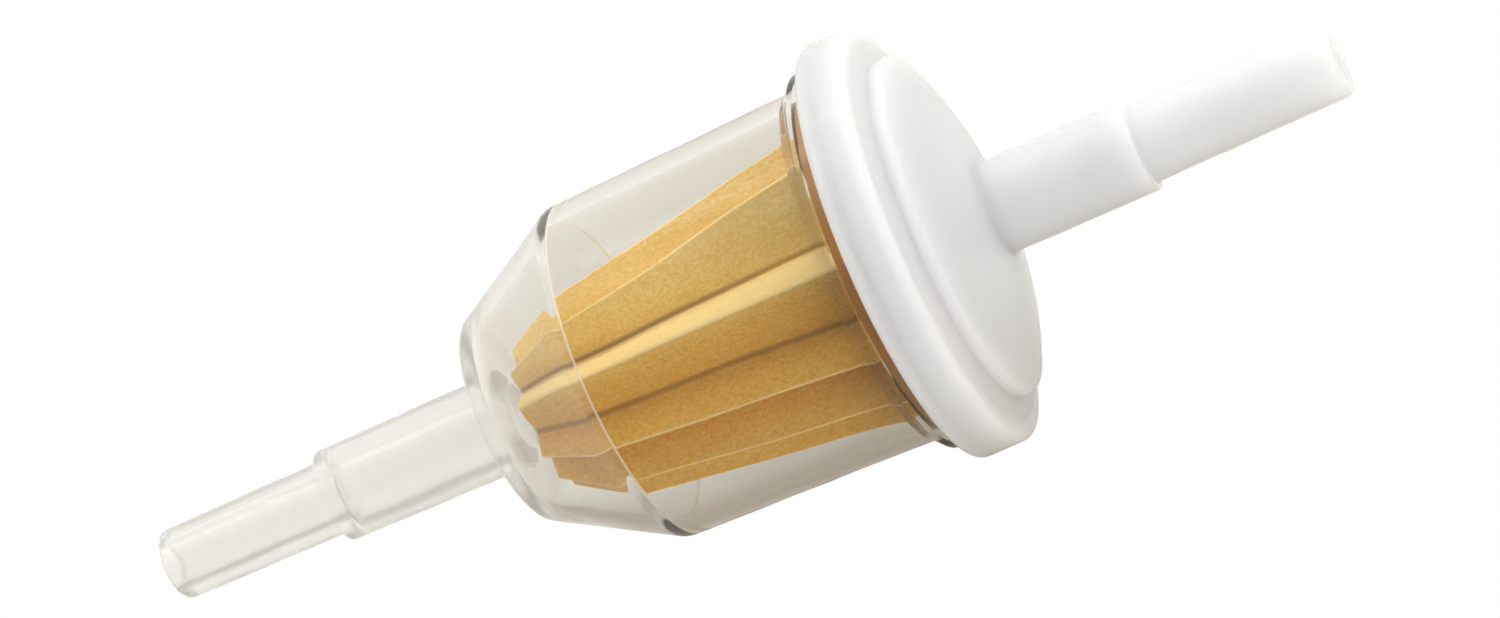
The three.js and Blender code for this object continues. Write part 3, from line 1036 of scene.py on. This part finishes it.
    def seam(self) -> Surface:
        """Strip of glue along one facet: a rounded bar carried along the fold.

        Its section is a superellipse, (cos q)^0.5 across and (sin q)^0.5 up.
        """
        x = np.linspace(self.bend - 0.9, self.bowl.pocket_floor - 2.0, 60)
        sharp = self.corners(x)
        crest = sharp[:, 2 * self.seam_pleat]
        valley = sharp[:, 2 * self.seam_pleat + 1]
        along = valley - crest
        out = np.stack([along[:, 1], -along[:, 0]], axis=1)
        out = out / np.linalg.norm(out, axis=1, keepdims=True)
        q = np.arange(24) * 2 * math.pi / 24
        across = 0.5 + 0.25 * np.sign(np.cos(q)) * np.abs(np.cos(q)) ** 0.5
        up = SEAM_GAP + 0.175 * (1 + np.sign(np.sin(q)) * np.abs(np.sin(q)) ** 0.5)
        section = (
            crest[:, None]
            + along[:, None] * across[None, :, None]
            + out[:, None] * up[None, :, None]
        )
        station = np.broadcast_to(x[:, None, None], (*section.shape[:2], 1))
        return filled_tube(np.concatenate([station, section], axis=2))

    def build(self) -> None:
        """Makes the paper, its seam and its end plug."""
        add_piece("pleated_cone", self.paper(), Look.PAPER.value, ("pleated_paper",), 60.0)
        add_piece("cone_seam", self.seam(), Look.SEAM.value, ("paper_seam",))
        add_piece("cone_plug", self.plug(), Look.PLUG.value, ("end_plug",))


# ---------------------------------------------------------------------------
# Camera, lamps and floor
# ---------------------------------------------------------------------------


@dataclass
class Studio:
    """White floor, soft lamps and the camera above the filter."""

    floor_height: float = -0.0188
    tilt: float = 14.3  # of the line of sight from +Z towards +X
    roll: float = 23.55  # of the filter's axis in the picture
    distance: float = 0.5
    target: tuple[float, float, float] = (0.00102, 0.0005, 0.0)
    lens: float = 144.0
    dark_side: Colour = (0.85, 0.82, 0.76, 1)
    light_side: Colour = (1.07, 1.07, 1.07, 1)
    overhead: Colour = (1.12, 1.13, 1.14, 1)
    mirrored: Colour = (0.25, 0.25, 0.25, 1)
    # Painted shadow on the floor for all but camera rays: its colour and its glow across Y.
    floor_painted_shadow: Colour = (0.37, 0.33, 0.275, 1)
    floor_light: Colour = (0.57, 0.57, 0.555, 1)
    floor_painted_glow: tuple[float, float] = (0.02, 0.30)
    floor_shade: tuple[float, float] = (-0.020, -0.008)

    def camera(self) -> None:
        """Looks down at the filter, its axis rolled in the picture."""
        tilt, roll = math.radians(self.tilt), math.radians(self.roll)
        back = Vector((math.sin(tilt), 0, math.cos(tilt)))
        along = Vector((math.cos(tilt), 0, -math.sin(tilt)))
        across = Vector((0, 1, 0))
        right = along * math.cos(roll) - across * math.sin(roll)
        up = along * math.sin(roll) + across * math.cos(roll)
        data = bpy.data.cameras.new("camera")
        data.lens = self.lens
        data.sensor_width = 36.0
        data.clip_start = 0.01
        data.clip_end = 20.0
        camera = bpy.data.objects.new("camera", data)
        place = Vector(self.target) + back * self.distance
        camera.matrix_world = Matrix.Translation(place) @ Matrix((right, up, back)).transposed().to_4x4()
        bpy.context.scene.collection.objects.link(camera)
        bpy.context.scene.camera = camera

    def lamp(
        self,
        name: str,
        place: tuple[float, float, float],
        size: tuple[float, float],
        radiance: float,
        colour: tuple[float, float, float],
        glossy: bool = True,
    ) -> None:
        """A soft box that faces the filter.

        Args:
            name: the lamp's name.
            place: its middle, in metres.
            size: its length and height, in metres.
            radiance: its brightness; its power is pi times its area times this.
            colour: its colour.
            glossy: whether it shows in reflections.
        """
        data = bpy.data.lights.new(name, "AREA")
        data.shape = "RECTANGLE"
        data.size, data.size_y = size
        data.energy = math.pi * size[0] * size[1] * radiance
        data.color = colour
        lamp = bpy.data.objects.new(name, data)
        back = Vector(place).normalized()
        side = Vector((1, 0, 0)) - back * back.x
        side.normalize()
        up = back.cross(side)
        lamp.matrix_world = Matrix.Translation(place) @ Matrix((side, up, back)).transposed().to_4x4()
        lamp.visible_glossy = glossy
        bpy.context.scene.collection.objects.link(lamp)

    def floor(self) -> None:
        """A wide floor: flat white to the camera, and graded across Y to all other rays.

        The camera sees plain white with no shadow. What shines through the plastics and in them is
        the grading, a painted shadow darker and browner towards -Y and a painted glow towards +Y.
        """
        half = 6.0
        height = self.floor_height
        corners = np.array([[-1, -1], [1, -1], [1, 1], [-1, 1]]) * half
        points = np.concatenate([corners, np.full((4, 1), height)], axis=1)
        mesh = bpy.data.meshes.new("floor")
        mesh.from_pydata(points.tolist(), [], [(0, 1, 2, 3)])
        material = bpy.data.materials.new("floor")
        material.use_nodes = True
        tree = material.node_tree
        shader = tree.nodes["Principled BSDF"]
        shader.inputs["Roughness"].default_value = 0.9
        shader.inputs["Emission Color"].default_value = (1.0, 0.975, 0.92, 1)
        place = tree.nodes.new("ShaderNodeTexCoord")
        split = tree.nodes.new("ShaderNodeSeparateXYZ")
        # Painted glow: emission that grows across Y, part of the painted shadow.
        shade = tree.nodes.new("ShaderNodeMapRange")
        for name, number in zip(
            ("From Min", "From Max", "To Min", "To Max"), (*self.floor_shade, *self.floor_painted_glow)
        ):
            shade.inputs[name].default_value = number
        # Painted shadow: the floor's colour darkens towards -Y.
        colour = self.shade(
            tree, split.outputs["Y"], self.floor_shade, self.floor_painted_shadow, self.floor_light
        )
        tree.links.new(colour, shader.inputs["Base Color"])
        tree.links.new(place.outputs["Object"], split.inputs["Vector"])
        tree.links.new(split.outputs["Y"], shade.inputs["Value"])
        tree.links.new(shade.outputs["Result"], shader.inputs["Emission Strength"])
        shader.inputs["Specular IOR Level"].default_value = 0.1
        path = tree.nodes.new("ShaderNodeLightPath")
        glow = tree.nodes.new("ShaderNodeEmission")
        glow.inputs["Color"].default_value = (1, 1, 1, 1)
        glow.inputs["Strength"].default_value = 1.0
        mix = tree.nodes.new("ShaderNodeMixShader")
        output = tree.nodes["Material Output"]
        tree.links.new(path.outputs["Is Camera Ray"], mix.inputs[0])
        tree.links.new(shader.outputs["BSDF"], mix.inputs[1])
        tree.links.new(glow.outputs["Emission"], mix.inputs[2])
        tree.links.new(mix.outputs["Shader"], output.inputs["Surface"])
        mesh.materials.append(material)
        floor = bpy.data.objects.new("floor", mesh)
        bpy.context.scene.collection.objects.link(floor)

    def shade(
        self,
        tree: bpy.types.NodeTree,
        value: bpy.types.NodeSocket,
        span: tuple[float, float],
        first: Colour,
        last: Colour,
    ) -> bpy.types.NodeSocket:
        """A colour that goes from first to last as a value crosses a span."""
        remap = tree.nodes.new("ShaderNodeMapRange")
        remap.inputs["From Min"].default_value, remap.inputs["From Max"].default_value = span
        mix = tree.nodes.new("ShaderNodeMix")
        mix.data_type = "RGBA"
        mix.inputs[6].default_value = first
        mix.inputs[7].default_value = last
        tree.links.new(value, remap.inputs["Value"])
        tree.links.new(remap.outputs["Result"], mix.inputs[0])
        return mix.outputs[2]

    def surroundings(self) -> None:
        """Flat white to the camera; as light, paler towards +Y and darker towards -Y.

        Reflections see it dimmed overhead to the mirrored colour.
        """
        world = bpy.data.worlds.new("studio")
        bpy.context.scene.world = world
        world.use_nodes = True
        tree = world.node_tree
        tree.nodes.clear()
        coordinate = tree.nodes.new("ShaderNodeTexCoord")
        split = tree.nodes.new("ShaderNodeSeparateXYZ")
        across = self.shade(tree, split.outputs["Y"], (-1, 1), self.dark_side, self.light_side)
        height = self.shade(tree, split.outputs["Z"], (0.0, 0.9), (1, 1, 1, 1), self.overhead)
        mirror = self.shade(tree, split.outputs["Z"], (0.1, 0.8), (1, 1, 1, 1), self.mirrored)
        product = tree.nodes.new("ShaderNodeMix")
        product.data_type = "RGBA"
        product.blend_type = "MULTIPLY"
        product.inputs[0].default_value = 1.0
        path = tree.nodes.new("ShaderNodeLightPath")
        seen = tree.nodes.new("ShaderNodeMix")
        seen.data_type = "RGBA"
        mix = tree.nodes.new("ShaderNodeMix")
        mix.data_type = "RGBA"
        mix.inputs[7].default_value = (1, 1, 1, 1)
        background = tree.nodes.new("ShaderNodeBackground")
        output = tree.nodes.new("ShaderNodeOutputWorld")
        links = tree.links
        links.new(coordinate.outputs["Generated"], split.inputs["Vector"])
        links.new(across, product.inputs[6])
        links.new(path.outputs["Is Glossy Ray"], seen.inputs[0])
        links.new(height, seen.inputs[6])
        links.new(mirror, seen.inputs[7])
        links.new(seen.outputs[2], product.inputs[7])
        links.new(path.outputs["Is Camera Ray"], mix.inputs[0])
        links.new(product.outputs[2], mix.inputs[6])
        links.new(mix.outputs[2], background.inputs["Color"])
        links.new(background.outputs["Background"], output.inputs["Surface"])

    def build(self) -> None:
        """Sets the camera, the lamps, the floor and the surroundings."""
        bpy.context.scene.view_settings.view_transform = "Standard"
        self.camera()
        self.floor()
        self.surroundings()
        self.lamp("key", (-0.25, 0.50, 0.30), (0.26, 0.16), 2.0, (1.0, 0.97, 0.92))
        self.lamp("side", (0.16, 0.56, 0.06), (0.80, 0.16), 3.3, (0.96, 0.985, 1.0), False)
        self.lamp("top", (0.42, -0.20, 0.38), (0.30, 0.30), 2.9, (1.0, 0.985, 0.95), False)
        self.lamp("strip", (0.16, 0.56, 0.05), (0.80, 0.03), 2.5, (1.0, 1.0, 1.0))


def main() -> None:
    """Builds the filter's sub-assemblies in order, then the studio."""
    logging.basicConfig(level=logging.INFO, format="%(name)s %(message)s")
    bowl = Bowl()
    cap = Cap(bowl)
    for part in (bowl, cap, PaperCone(bowl, cap), Studio()):
        part.build()


if __name__ == "__main__":
    main()
